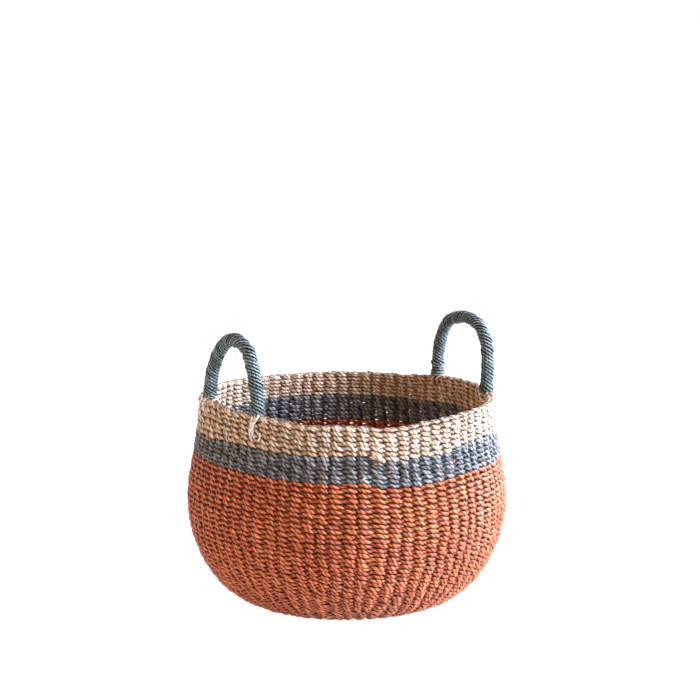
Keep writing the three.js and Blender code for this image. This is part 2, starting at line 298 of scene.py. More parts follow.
# %% [markdown]
# ## The wall's shape
# The twines follow a surface in the middle of the wall's thickness. Its outline is turned once,
# from the middle of the floor to the rim, from the same sizes as the CAD model: a flat floor,
# a quarter of an ellipse out to the belly, and an eased line back in to the rim. A place on the
# wall is given by the stake's number, the way up the outline in millimetres, and how far it
# stands out from the middle of the wall.

# %% The outline
MM = 0.001
BASE_RADIUS, BELLY_RADIUS, BELLY_HEIGHT = 78, 175, 121
RIM_RADIUS, RIM_HEIGHT, SHOULDER_BEND = 162, 228, 0.85
WALL = 9
COLUMNS = 72
SEAM = math.radians(-112.2)
FLOOR_POINTS, BELLY_POINTS, SHOULDER_POINTS = 60, 200, 120


def lengths(line):
    spans = np.linalg.norm(np.diff(line, axis=0), axis=1)
    return np.concatenate([[0], np.cumsum(spans)])


turn = np.linspace(0, math.pi / 2, BELLY_POINTS)
rise = np.linspace(0, 1, SHOULDER_POINTS)[1:]
ease = (1 + np.cos(math.pi * rise ** SHOULDER_BEND)) / 2
outer = np.concatenate([
    np.column_stack([np.linspace(0, BASE_RADIUS, FLOOR_POINTS)[:-1], np.zeros(FLOOR_POINTS - 1)]),
    np.column_stack([BASE_RADIUS + (BELLY_RADIUS - BASE_RADIUS) * np.sin(turn),
                     BELLY_HEIGHT * (1 - np.cos(turn))]),
    np.column_stack([RIM_RADIUS + (BELLY_RADIUS - RIM_RADIUS) * ease,
                     BELLY_HEIGHT + (RIM_HEIGHT - BELLY_HEIGHT) * rise]),
])
along = lengths(outer)
tangent = np.gradient(outer, along, axis=0)
tangent /= np.linalg.norm(tangent, axis=1)[:, None]
normal = np.column_stack([tangent[:, 1], -tangent[:, 0]])
middle_line = outer - normal * WALL / 2


def way_up(height):
    return float(np.interp(height, outer[FLOOR_POINTS:, 1], along[FLOOR_POINTS:]))


print("outline from the middle of the floor to the rim:", round(along[-1], 1), "mm")

# %% [markdown]
# ## What the hand left uneven
# A hand-made wall isn't regular. The bands rise and fall as they go round, and the rim is pulled
# up at the left handle. Each row of the table is an angle round the basket in degrees, and how
# many millimetres the lower edge of the slate band, the lower edge of the natural band and the
# rim lie above their plain heights there. The stakes also wander to the sides, by shares of the
# space between two of them that are drawn at twelve levels and smoothed.

# %% The uneven wall
LIFT = np.array([
    (0, 5, 8.5, 5.4), (8, 5, 8.5, 5), (16, 5, 8, 4.6), (22, 6, 7.2, 3), (30, 7, 8, 0.5),
    (56, 8, 9, 1.5), (84, 8, 9, 1.2), (92, 8, 8.5, 1.5), (103, 7, 7, 2), (112, 6, 6, 3.5),
    (122, 5, 4, 4), (136, 4, 2, 3), (149, 4, 1, 1.5), (156, 4.5, 1, 4), (163, 5, 2, 9),
    (169, 5, 2, 12), (174, 4.5, 3, 11), (180, 4, 3.5, 8), (187, 4, 5, 6.8), (197, 2.5, 3, 6.8),
    (203, 1.5, 1.5, 5.2), (209, 0.5, 1, 3.8), (214, 0, 0.5, 0.8), (221, -0.5, -1, -0.8),
    (228, -1.5, -1.5, -0.3), (232, -1.5, -0.5, 1), (237, -1, -0.5, 0), (245, -1, 0, -1.2),
    (250, -2.5, -2.5, -2.6), (260, -2.5, -1.5, -2.5), (265, -2, 0, 0), (276, 0.5, -1, 1.5),
    (285, 3, 4.5, 2.8), (293, 3, 6, 3.2), (310, 2.5, 5, 3), (326, 2, 2, 3), (337, 2, 2, 3.5),
    (348, 4, 6, 4.5),
])
EVEN_BELOW, SLATE_FOOT, NATURAL_FOOT = 70, 168, 195
LEVELS = [way_up(height) for height in (EVEN_BELOW, SLATE_FOOT, NATURAL_FOOT, RIM_HEIGHT)]
WANDER, WANDER_LEVELS, WANDER_SMOOTHING = 0.13, 12, 1.7

RNG = np.random.default_rng(72)
wander = RNG.normal(0, WANDER, (COLUMNS, WANDER_LEVELS))
wander = (wander + np.roll(wander, 1, axis=1) + np.roll(wander, -1, axis=1)) / WANDER_SMOOTHING


def lifted(angle, up_wall):
    degrees = np.degrees(angle)
    edges = [0.0] + [np.interp(degrees, LIFT[:, 0], LIFT[:, k], period=360) for k in (1, 2, 3)]
    lift = np.zeros_like(up_wall)
    for k in range(3):
        share = np.clip((up_wall - LEVELS[k]) / (LEVELS[k + 1] - LEVELS[k]), 0, 1)
        lift = lift + (edges[k + 1] - edges[k]) * share
    return up_wall + lift


def wandered(stake, up_wall):
    column = np.floor(stake).astype(int)
    level = np.clip(up_wall / along[-1], 0, 1) * (WANDER_LEVELS - 1.001)
    row = level.astype(int)
    share, part = stake - column, level - row

    def aside(of_column):
        table_row = of_column % COLUMNS
        return wander[table_row, row] * (1 - part) + wander[table_row, row + 1] * part

    return stake + aside(column) * (1 - share) + aside(column + 1) * share


# %% [markdown]
# ## A place on the wall
# The stitches stand out from the surface that they follow. So the floor and the lowest part of
# the wall are raised a little, and the stitches rest on the ground.

# %% A place on the wall
FOOT_RAISE, FOOT_REACH = 1.3, 25


def on_wall(stake, up_wall, out):
    stake, up_wall, out = np.broadcast_arrays(stake, up_wall, out)
    angle = SEAM + wandered(stake, up_wall) * (math.tau / COLUMNS)
    up_wall = lifted(angle, up_wall)
    middle_radius = np.interp(up_wall, along, middle_line[:, 0])
    middle_height = np.interp(up_wall, along, middle_line[:, 1])
    radius = middle_radius + out * np.interp(up_wall, along, normal[:, 0])
    height = middle_height + out * np.interp(up_wall, along, normal[:, 1])
    height = height + np.maximum(up_wall - along[-1], 0)
    height = height + FOOT_RAISE * np.clip(1 - middle_height / FOOT_REACH, 0, 1)
    return np.stack([radius * np.cos(angle), radius * np.sin(angle), height], axis=-1) * MM


# %% [markdown]
# ## One stitch
# Twine is laid up from two strands, which go round each other a little more than once from one
# stake to the next. A stitch is the twine over one stake. It is modelled once, straight: a short
# tube is added, every fourth line of it is drawn in to make the grooves between the strands, and
# a twist lays the strands. It repeats thousands of times, so it has only 64 faces.

# %% The stitch
SIDES, SEGMENTS = 8, 8
GROOVE = 0.76
LAY_TURN = math.radians(440)


def line_of(point):
    return round(math.atan2(point.z, point.y) / math.tau * SIDES) % SIDES


bpy.ops.object.select_all(action="DESELECT")
bpy.ops.mesh.primitive_cylinder_add(vertices=SIDES, radius=1, depth=1, end_fill_type="NOTHING",
                                    rotation=(0, math.pi / 2, 0))
stitch = bpy.context.object
bpy.ops.object.transform_apply(location=False, rotation=True, scale=False)
bpy.ops.object.mode_set(mode="EDIT")
bpy.ops.mesh.select_mode(type="EDGE")
bpy.ops.mesh.select_all(action="DESELECT")
shape = bmesh.from_edit_mesh(stitch.data)
for edge in shape.edges:
    edge.select = abs(edge.verts[0].co.x - edge.verts[1].co.x) > 0.5
bmesh.update_edit_mesh(stitch.data)
bpy.ops.mesh.subdivide(number_cuts=SEGMENTS - 1)
bpy.ops.mesh.select_mode(type="VERT")
bpy.ops.mesh.select_all(action="DESELECT")
shape = bmesh.from_edit_mesh(stitch.data)
for vert in shape.verts:
    vert.select = line_of(vert.co) % (SIDES // STRANDS) == 0
shape.select_flush(False)
bmesh.update_edit_mesh(stitch.data)
bpy.ops.transform.resize(value=(1, GROOVE, GROOVE))
bpy.ops.object.mode_set(mode="OBJECT")
straight = [vert.co.copy() for vert in stitch.data.vertices]
order = sorted(range(len(straight)),
               key=lambda i: (round(straight[i].x * SEGMENTS), line_of(straight[i])))
lay = stitch.modifiers.new("lay", "SIMPLE_DEFORM")
lay.deform_method, lay.deform_axis, lay.angle = "TWIST", "X", LAY_TURN
bpy.ops.object.modifier_apply(modifier="lay")
STITCH = np.array([stitch.data.vertices[i].co for i in order]).reshape(SEGMENTS + 1, SIDES, 3)
bpy.data.objects.remove(stitch)
print("one stitch has", SIDES * SEGMENTS, "faces")

# %% [markdown]
# ## From points to a twine
# A twine that follows a formula can't be drawn with the hand tools, so its rings of points are
# worked out and skinned here. Each twine gets capped ends, a UV map that runs along it and round
# it, and a tone for each stitch that the material reads. A quad starts at the corner from which
# its shorter diagonal runs, because Blender divides it there, and each twine reads a stretch of
# the streaks of its own. The grooves are marked sharp, so each strand is shaded as a round of its
# own.

# %% Skinning rings of points
STREAK_SHIFT = 1.37


def skinned(rings, start, length_before):
    count, sides = rings.shape[:2]
    rows = start + np.arange(count - 1)[:, None] * sides
    side = np.arange(sides)[None, :]
    after = (side + 1) % sides
    quads = np.stack([rows + side, rows + after, rows + sides + after, rows + sides + side],
                     axis=-1)
    beside = np.roll(rings, -1, axis=1)
    diagonals = [np.linalg.norm(rings[:-1] - beside[1:], axis=2).mean(),
                 np.linalg.norm(beside[:-1] - rings[1:], axis=2).mean()]
    lead = -int(np.argmin(diagonals))
    length = lengths(rings.mean(1)) + length_before
    low = np.broadcast_to(length[:-1, None], (count - 1, sides))
    high = np.broadcast_to(length[1:, None], (count - 1, sides))
    left = np.broadcast_to(side / sides, (count - 1, sides))
    corners = [np.stack([low, left], -1), np.stack([low, left + 1 / sides], -1),
               np.stack([high, left + 1 / sides], -1), np.stack([high, left], -1)]
    uvs = np.roll(np.stack(corners, axis=2), lead, axis=2).reshape(-1, 2)
    return np.roll(quads, lead, axis=-1).reshape(-1, 4), uvs, length


def capped(rings, start, length):
    count, sides = rings.shape[:2]
    caps, uvs = [], []
    for ring, turned in ((0, True), (count - 1, False)):
        first = start + ring * sides
        fan = [[first, first + k, first + k + 1] for k in range(1, sides - 1)]
        caps.append(np.array([corner[::-1] if turned else corner for corner in fan]))
        uvs.append(np.zeros((len(fan) * 3, 2)) + [length[ring], 0])
    return caps, uvs


def make_twines(name, material, body, twines, strands=STRANDS):
    points, faces, caps, uvs, cap_uvs, tones, depths, start = [], [], [], [], [], [], [], 0
    for rings, tone, depth in twines:
        quads, quad_uvs, length = skinned(rings, start, STREAK_SHIFT * len(points))
        ends, end_uvs = capped(rings, start, length)
        points.append(rings.reshape(-1, 3))
        faces.append(quads)
        uvs.append(quad_uvs)
        caps += ends
        cap_uvs += end_uvs
        tones.append(np.broadcast_to(tone, rings.shape[:2]).ravel())
        depths.append(np.broadcast_to(depth, rings.shape[:2]).ravel())
        start += len(points[-1])
    mesh = bpy.data.meshes.new(name)
    mesh.from_pydata(np.concatenate(points), [],
                     np.concatenate(faces).tolist() + np.concatenate(caps).tolist())
    layer = mesh.uv_layers.new(name="twine")
    layer.data.foreach_set("uv", np.concatenate(uvs + cap_uvs).astype(np.float32).ravel())
    # The material reads "tone" for the dye and "sunk" for the painted shade.
    for label, values in (("tone", tones), ("sunk", depths)):
        layer = mesh.attributes.new(label, "FLOAT", "POINT")
        layer.data.foreach_set("value", np.concatenate(values).astype(np.float32))
    mesh.polygons.foreach_set("use_smooth", np.ones(len(mesh.polygons), bool))
    if strands:
        ends = np.zeros(len(mesh.edges) * 2, np.int32)
        mesh.edges.foreach_get("vertices", ends)
        ends = np.sort(ends.reshape(-1, 2), axis=1)
        lengthwise = ends[:, 1] - ends[:, 0] == SIDES
        in_groove = ends[:, 0] % SIDES % (SIDES // strands) == 0
        crease = mesh.attributes.new("sharp_edge", "BOOLEAN", "EDGE")
        crease.data.foreach_set("value", lengthwise & in_groove)
    mesh.materials.append(material)
    mesh.update()
    piece = bpy.data.objects.new(name, mesh)
    bpy.context.scene.collection.objects.link(piece)
    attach(piece, body)
    print(name, len(mesh.polygons), "faces")
    return piece


# %% [markdown]
# ## Where the stakes run
# The stitches are as wide at the foot as at the rim. So the wall starts from 36 stakes, and the
# other 36 are laid in one by one as it widens, all round the wall by turns. The stakes beside a
# new one make room for it over eight rows, and it takes its first stitch when it has two fifths
# of its room. The rows climb in one long spiral, so a place in it is counted in stakes, 72 to a
# row, from the seam at the front.

# %% Where the stakes run
SLATE_ROW, NATURAL_ROW, ROWS = 40, 46, 52
ROW_MARKS = [0, 20, SLATE_ROW, NATURAL_ROW, ROWS]
ROW_HEIGHTS = [way_up(0), way_up(0) + 108, way_up(167.5), way_up(194.8), way_up(225.5)]
BELLY_ROW = 32
FROM_START = -20.0  # so long before the first row that such a stake has all its room
LATER_STAKES = COLUMNS // 2
FIRST_RADIUS, RADIUS_STEP = 84, 2.3
BY_TURNS = 13  # spreads stakes that are laid in one after the other round the wall
ROOM_ROWS, ROWS_AHEAD = 8, 5
FIRST_STITCH = 0.4

every_row = np.arange(ROWS + 1)
row_radius = np.interp(np.interp(every_row, ROW_MARKS, ROW_HEIGHTS), along, outer[:, 0])
new_radius = FIRST_RADIUS + RADIUS_STEP * (np.arange(LATER_STAKES) * BY_TURNS % LATER_STAKES)
laid_in = np.full(COLUMNS, FROM_START)
laid_in[1::2] = np.interp(new_radius, row_radius[:BELLY_ROW], every_row[:BELLY_ROW]) - ROWS_AHEAD


def stake_room(rows):
    return np.clip((rows[:, None] - laid_in[None, :]) / ROOM_ROWS, 0, 1)


def stake_places(rows):
    room = stake_room(rows)
    whole = room.sum(axis=1, keepdims=True)
    place = (np.cumsum(room, axis=1) - room / 2) * COLUMNS / whole
    drift = ((place - np.arange(COLUMNS)) * room).sum(axis=1, keepdims=True) / whole
    return place - drift


passed = np.arange(ROWS * COLUMNS)
passed_rows, column = passed / COLUMNS, passed % COLUMNS
taken = stake_room(passed_rows)[passed, column] >= FIRST_STITCH
SPIRAL = (passed // COLUMNS * COLUMNS + stake_places(passed_rows)[passed, column])[taken]
ROW_STARTS = [int(taken[:row * COLUMNS].sum()) for row in range(ROWS + 1)]
print("stitches in the first, tenth and last row:",
      [ROW_STARTS[row + 1] - ROW_STARTS[row] for row in (0, 9, ROWS - 1)])

# %% [markdown]
# ## The twined rows
# Two twines cross between every pair of stakes and take turns on the outside. Seen from outside,
# each stitch comes out high on its left, swells over the stake, and dives in low on its right, so
# the whole wall slants slightly down to the right. A new colour starts where the spiral crosses
# the seam, and a band is made in chunks of rows, so no piece of the model gets too heavy. The
# twines are thinner where they cross, most of all in the slate band, where light comes through
# between the rows.
#
# Handwork isn't even, so each stitch differs a little, by values drawn from the seeded list. Their
# spreads are given in stitches for the place of a crossing, in radians for the lay of the twine
# and the tone of its strands, in millimetres for the height and depth of a stitch, and as shares
# for its girth and swing.

# %% The twined rows
SWING, SWING_SUNK = 2.8, 0.35
SLANT, SLANT_BIAS = 0.9, 0.6
SQUEEZE, SLATE_SQUEEZE = 0.14, 0.27
HALF_HEIGHT, HALF_DEPTH = 0.54, 2.2
UNEVEN = dict(crossing=0.09, lay=0.5, height=0.3, girth=0.09, swing=0.06, depth=0.12, ply=0.25)
PLY_TONE = 0.35
CHUNK = 8


def seeded(places, spread):
    first, last = int(np.floor(places[0])) - 1, int(np.ceil(places[-1])) + 2
    return np.arange(first, last), RNG.normal(0, spread, last - first)


def uneven(places, spread):
    stitches, drawn = seeded(places, spread)
    return np.interp(places, stitches, drawn)


def drifting(places, step):
    stitches, drawn = seeded(places, step)
    return np.interp(places, stitches, np.cumsum(drawn))


def twined_rows(spiral, first, last, marks=ROW_MARKS, heights=ROW_HEIGHTS, half_height=None,
                slant=SLANT, squeeze=SQUEEZE):
    count = last - first
    places = first + np.arange(count)[:, None] + STITCH[None, :SEGMENTS, 0, 0]
    places = np.append(places.ravel(), last - 0.5)
    longer = np.concatenate([[2 * spiral[0] - spiral[1]], spiral, [2 * spiral[-1] - spiral[-2]]])
    stake = np.interp(places, np.arange(-1, len(spiral) + 1), longer)
    row_height = np.interp(stake / COLUMNS, marks, heights)
    pitch = np.interp(stake / COLUMNS, marks[:-1], np.diff(heights) / np.diff(marks))
    half = half_height or HALF_HEIGHT * pitch
    section = STITCH[np.append(np.tile(np.arange(SEGMENTS), count), SEGMENTS)]
    stitch_number = np.append(np.repeat(np.arange(count), SEGMENTS), count - 1)
    crossing = uneven(places, UNEVEN["crossing"])
    twines = []
    for side in (0, 1):
        roll = (LAY_TURN * stitch_number + drifting(places, UNEVEN["lay"]))[:, None]
        high = section[:, :, 1] * np.cos(roll) - section[:, :, 2] * np.sin(roll)
        deep = section[:, :, 1] * np.sin(roll) + section[:, :, 2] * np.cos(roll)
        phase = math.pi * (places + crossing + side)
        slanted = slant * (1 + SLANT_BIAS * np.cos(phase)) * np.sin(phase)
        rise = row_height - slanted + uneven(places, UNEVEN["height"])
        girth = 1 + uneven(places, UNEVEN["girth"]) - squeeze * np.sin(phase) ** 2
        out = (SWING * np.cos(phase) * (1 + uneven(places, UNEVEN["swing"]))
               + uneven(places, UNEVEN["depth"]))
        # How deep each point lies: most at the crossings and on the top and bottom of the twine,
        # which puts painted shade at the crossings and between the rows.
        sunk = SWING_SUNK * (SWING - np.abs(out))[:, None] + HALF_DEPTH * (1 - np.abs(deep))
        plies = np.stack([drifting(places, UNEVEN["ply"]) for _ in range(STRANDS)], axis=1)
        tone = np.append(np.repeat(RNG.random(count), SEGMENTS), 0.5)[:, None]
        tone = np.repeat(tone + PLY_TONE * np.sin(plies), SIDES // STRANDS, axis=1)
        rings = on_wall(stake[:, None],
                        rise[:, None] + high * (half * girth)[:, None],
                        out[:, None] + deep * (HALF_DEPTH * girth)[:, None])
        twines.append((rings, tone, sunk * MM))
    return twines


for number, first in enumerate(range(0, SLATE_ROW, CHUNK)):
    make_twines(
        f"rust_weave_{number + 1}", rust_abaca, "basket",
        twined_rows(SPIRAL, ROW_STARTS[first], ROW_STARTS[first + CHUNK]))
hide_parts("rust_wall")
slate_weave = make_twines(
    "slate_weave", slate_abaca, "basket",
    twined_rows(SPIRAL, ROW_STARTS[SLATE_ROW], ROW_STARTS[NATURAL_ROW], squeeze=SLATE_SQUEEZE))
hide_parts("slate_band")
natural_weave = make_twines(
    "natural_weave", natural_abaca, "basket",
    twined_rows(SPIRAL, ROW_STARTS[NATURAL_ROW], ROW_STARTS[ROWS]))
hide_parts("natural_band")

# %% [markdown]
# ## Stakes
# The stakes are undyed, stiffer twine. They are hidden in the wall, and only small pale bits of
# them show in the gaps between rows, which is why they are there. They count as lying 1.8 mm
# deep, so the material paints them almost wholly with the dark shade of the grooves.

# %% The stakes
STAKE_RADIUS, STAKE_SIDES, STAKE_STEP = 1.9, 6, 4.0
# deep enough that the stakes are painted almost wholly with shade
STAKE_SUNK = 0.0018
STAKE_TOP = 226
BELOW_FOOT = 3
ROWS_HIDDEN = 2


def stake_rings(number, low, high, radius):
    up_wall = np.arange(low, high, STAKE_STEP)
    around = np.arange(STAKE_SIDES) * math.tau / STAKE_SIDES
    place = stake_places(np.interp(up_wall, ROW_HEIGHTS, ROW_MARKS))[:, number]
    spacing = np.interp(up_wall, along, middle_line[:, 0])[:, None] * math.tau / COLUMNS
    stake = place[:, None] + radius * np.cos(around)[None, :] / spacing
    rings = on_wall(stake, up_wall[:, None], radius * np.sin(around)[None, :])
    return rings[:, ::-1]


stakes = []
for number in range(COLUMNS):
    start = np.interp(laid_in[number] + ROWS_HIDDEN, ROW_MARKS, ROW_HEIGHTS)
    rings = stake_rings(number, max(start, way_up(0) - BELOW_FOOT), way_up(STAKE_TOP),
                        STAKE_RADIUS)
    stakes.append((rings, RNG.random(), STAKE_SUNK))
make_twines("wall_stakes", natural_abaca, "basket", stakes, strands=0)

# %% [markdown]
# ## Ropes along a line
# The middle of the floor, the handles, their lashings and the loose ends are short ropes that
# follow drawn lines. A line is given by a few points, rounded with a Catmull-Rom curve, and a
# section is carried along it without turning, apart from the lay of its strands.

# %% Ropes
ASKEW = [0.3, 0.2, 0.9]  # a direction that no rope starts along


def rounded(points, per_span):
    points = np.asarray(points, float)
    padded = np.concatenate([[2 * points[0] - points[1]], points, [2 * points[-1] - points[-2]]])
    t = np.arange(per_span)[:, None] / per_span
    spans = []
    for a, b, c, d in zip(padded, padded[1:], padded[2:], padded[3:]):
        spans.append(0.5 * (2 * b + (c - a) * t + (2 * a - 5 * b + 4 * c - d) * t ** 2
                            + (3 * b - a - 3 * c + d) * t ** 3))
    return np.concatenate(spans + [points[-1:]])


def directions(line):
    tangents = np.gradient(line, axis=0)
    return tangents / np.linalg.norm(tangents, axis=1)[:, None]


def carried(line):
    tangents = directions(line)
    side = np.cross(tangents[0], ASKEW)
    sides = []
    for tangent_here in tangents:
        side = side - tangent_here * side.dot(tangent_here)
        side /= np.linalg.norm(side)
        sides.append(side)
    sides = np.array(sides)
    return sides, np.cross(tangents, sides)


def rope(line, radius, lay, groove=GROOVE):
    across, over = carried(line)
    sides = np.arange(SIDES)
    angle = (lengths(line) * math.tau / lay)[:, None] + sides[None, :] * math.tau / SIDES
    reach = np.where(sides % (SIDES // STRANDS) == 0, groove, 1.0)[None, :] * radius
    return (line[:, None, :] + across[:, None, :] * (reach * np.cos(angle))[:, :, None]
            + over[:, None, :] * (reach * np.sin(angle))[:, :, None])


# %% [markdown]
# ## Floor of the basket
# The floor is twined in the same way, from the middle out. It starts round a small coil with 18
# stakes, and from the sixth row on it has 36, so that the stitches keep their size. The first
# rows end two stitches later, so no gap is left where they meet the next ones.

# %% The woven floor
INNER_STAKES, INNER_ROWS, INNER_RADIUS = 18, 5, 10
OUTER_STAKES, OUTER_ROWS, OUTER_RADIUS = 36, 7, 38
COIL_TURNS, COIL_POINTS, COIL_GROWTH = (0.2, 3.2), 75, 0.52
# COIL_SUNK is how deep the coil counts as lying, which paints a little shade on it.
COIL_HEIGHT, COIL_RADIUS, COIL_LAY, COIL_SUNK = 5.8, 1.9, 0.012, 0.0008
SPOKE_RADIUS, SPOKE_STARTS, SPOKE_OVERLAP = 1.6, (4, 34), 2
EVEN_TONE = 0.5

inner = INNER_ROWS * INNER_STAKES + 2
floor_rows = twined_rows(np.arange(inner) * (COLUMNS / INNER_STAKES), 0, inner,
                         [0, INNER_ROWS], [INNER_RADIUS, OUTER_RADIUS])
outer_stitches = OUTER_ROWS * OUTER_STAKES
floor_rows += twined_rows(np.arange(outer_stitches) * (COLUMNS / OUTER_STAKES), 0, outer_stitches,
                          [0, OUTER_ROWS], [OUTER_RADIUS, way_up(0)])
turns = np.linspace(*COIL_TURNS, COIL_POINTS) * math.tau
coil = np.column_stack([np.cos(turns), np.sin(turns), np.zeros(COIL_POINTS)])
coil = (coil * (turns * COIL_GROWTH)[:, None] + [0, 0, COIL_HEIGHT]) * MM
floor_rows.append((rope(coil, COIL_RADIUS * MM, COIL_LAY), EVEN_TONE, COIL_SUNK))
floor_weave = make_twines("floor_weave", rust_abaca, "basket", floor_rows)
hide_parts("base_weave")

spokes = []
for number in range(OUTER_STAKES):
    rings = stake_rings(number * 2, SPOKE_STARTS[number % 2], way_up(0) + SPOKE_OVERLAP,
                        SPOKE_RADIUS)
    spokes.append((rings, RNG.random(), STAKE_SUNK))
make_twines("floor_stakes", natural_abaca, "basket", spokes, strands=0)

# %% [markdown]
# ## Rim border
# The weave ends in one more row, of thinner twine drawn tight round the cut ends of the stakes.

# %% The border
BORDER_HEIGHTS = way_up(225.8), way_up(226.3)
BORDER_HALF, BORDER_SLANT = 1.8, 0.3

border_rows = twined_rows(np.arange(COLUMNS), 0, COLUMNS, [0, 1], BORDER_HEIGHTS,
                          half_height=BORDER_HALF, slant=BORDER_SLANT)
border = make_twines("rim_border_weave", natural_abaca, "basket", border_rows)
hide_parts("rim_border")

# %% [markdown]
# ## Handles
# Each handle is an arch of natural rope, wrapped from foot to foot with seven fine blue-grey
# twines laid side by side. The right arch is a broad U and the left one is more pointed. The
# lines below are given in each handle's own plane, as millimetres along the hinge line and above
# the rim. With them stand how far that plane is from the basket's middle, which way it faces, the
# radius over the wraps, where along the line the wraps start, and how much they swell there and
# at the feet.

# %% The handles' lines
HANDLES = {
    "left": dict(
        reach=151.52, facing=math.radians(183.6), tube=7.5, wrap_from=1.5, collar=0, flare=0.3,
        line=[(41.0, 3), (41.8, 11.5), (41.0, 23), (39.4, 34.6), (37.0, 45), (33.6, 55.3),
              (29.2, 65.5), (22.6, 74.4), (13.0, 79.6), (4.0, 81.0), (-5.0, 80.2), (-13.5, 76.4),
              (-21.3, 69.6), (-27.2, 62.8), (-32.0, 55.6), (-37.3, 45), (-41.0, 33.6),
              (-43.4, 22), (-44.4, 16), (-44.8, 11)]),
    "right": dict(
        reach=149.01, facing=math.radians(-3.6), tube=7.2, wrap_from=17.5, collar=1.3, flare=1.4,
        line=[(51.0, 1), (51.0, 9), (50.8, 19), (50.0, 29), (47.6, 39), (43.2, 48.5), (38.6, 58),
              (32.0, 65.6), (24.0, 71.2), (13.0, 75.4), (1.0, 77.6), (-10.5, 78.6),
              (-21.0, 78.0), (-30.5, 75.0), (-38.8, 70.0), (-45.2, 63.2), (-49.8, 54.0),
              (-52.0, 44), (-52.4, 33), (-52.0, 20), (-50.8, 9), (-48.5, 0)]),
}
ARCH_SPANS = 8


def in_plane(handle, flat, out=0.0):
    flat = np.asarray(flat, float)
    outward = np.array([math.cos(handle["facing"]), math.sin(handle["facing"]), 0])
    beside = np.array([-outward[1], outward[0], 0])
    reach = handle["reach"] + np.broadcast_to(out, len(flat))[:, None]
    return (outward * reach + beside * flat[:, :1]
            + np.array([0, 0, 1]) * (RIM_HEIGHT + flat[:, 1:2])) * MM


def evenly(line, spacing):
    length = lengths(line)
    stops = np.linspace(0, length[-1], int(length[-1] / spacing) + 1)
    places = np.column_stack([np.interp(stops, length, line[:, k]) for k in range(line.shape[1])])
    return places, stops


# %% [markdown]
# ## The wrapping twine
# It is spun paper-like fibre, flat and dull, with a fine twist. It shows as short pale glints
# where the light grazes it and as dark lines between the wraps, which are partly real shade and
# partly shade painted by how deep each point lies.

# %% The wrapping material
# The last colour is the painted shade between the wraps.
blue_grey_twine = make_abaca("blue_grey_spun_twine", "86a4aa", "2c3c40", "040606", strands=0,
                             streak_depth=0.8, roughness=0.3, shine=1.0, spread=0.6)

# %% [markdown]
# ## Wraps and cores
# The seven twines go round the core side by side, 26 mm to a turn, and rise and sink a little as
# they go. At the right handle's rear foot they end in a small collar, and a thicker whipping is
# wound over the core below it.

# %% The wrapped handles
WRAPS, WRAP_LEAD, WRAP_RADIUS, WRAP_END = 7, 26, 1.5, 1.5
WHIP_FROM, WHIP_TO, WHIP_LEAD, WHIP_RADIUS, WHIP_FLARE = 2.5, 17.5, 3.2, 2.0, 1.5
WIND_STEP, STEPS_PER_TURN = 0.8, 20
WIND_LAY, WIND_GROOVE = 0.009, 0.8
FLARE_AT, FLARE_REACH, COLLAR_REACH = 5.5, 4.5, 2
WOBBLE, WOBBLE_SPAN = 0.32, 6.6  # mm, and mm along the handle from one value to the next
THICKNESS_SPREAD = 0.08
PATCH_TONE, PATCH_SPREAD, PATCH_SPAN = 0.5, 0.25, 4
# WRAP_SUNK scales how deep a point counts as lying, for the painted shade between the wraps.
WRAP_SUNK = 4.2
# The core counts as lying 3 mm deep, so where it shows between the wraps it is painted wholly with
# shade.
CORE_INSET, CORE_STEP, CORE_LAY, CORE_SUNK = 3, 2.5, 0.03, 0.003


def wound(handle, low, high, wraps, lead, thickness, collar, flare):
    line, stops = evenly(rounded(handle["line"], ARCH_SPANS), WIND_STEP)
    high = high or stops[-1] - WRAP_END
    slopes = directions(line)
    steps = np.linspace(low, high, int((high - low) / min(WIND_STEP, lead / STEPS_PER_TURN)))
    here = np.column_stack([np.interp(steps, stops, line[:, k]) for k in (0, 1)])
    slope = np.column_stack([np.interp(steps, stops, slopes[:, k]) for k in (0, 1)])
    to_foot = np.minimum(steps, stops[-1] - steps)
    swell = (flare * np.exp(-((to_foot - FLARE_AT) / FLARE_REACH) ** 2)
             + collar * np.exp(-((steps - low) / COLLAR_REACH) ** 2))
    twines = []
    for strand in range(wraps):
        wobble = RNG.normal(0, WOBBLE, len(steps) // 7 + 3)
        radius = handle["tube"] - thickness + swell
        radius = radius + np.interp(steps / WOBBLE_SPAN, np.arange(len(wobble)), wobble)
        angle = -math.tau * (steps / lead + strand / wraps)
        inward = np.column_stack([slope[:, 1], -slope[:, 0]])
        flat = here + inward * (radius * np.sin(angle))[:, None]
        path = in_plane(handle, flat, radius * np.cos(angle))
        thick = thickness * (1 + RNG.normal(0, THICKNESS_SPREAD))
        rings = rope(path, thick * MM, WIND_LAY, WIND_GROOVE)
        # How far each point lies below the wrap's crest, which paints the shade between the wraps.
        reached = np.linalg.norm(rings - in_plane(handle, here)[:, None], axis=2)
        depth = (radius + thick)[:, None] * MM - reached
        patches = RNG.normal(PATCH_TONE, PATCH_SPREAD, len(steps))
        tone = np.interp(steps / PATCH_SPAN, np.arange(len(steps)), patches)
        twines.append((rings, tone[:, None], depth * WRAP_SUNK / thickness))
    return twines


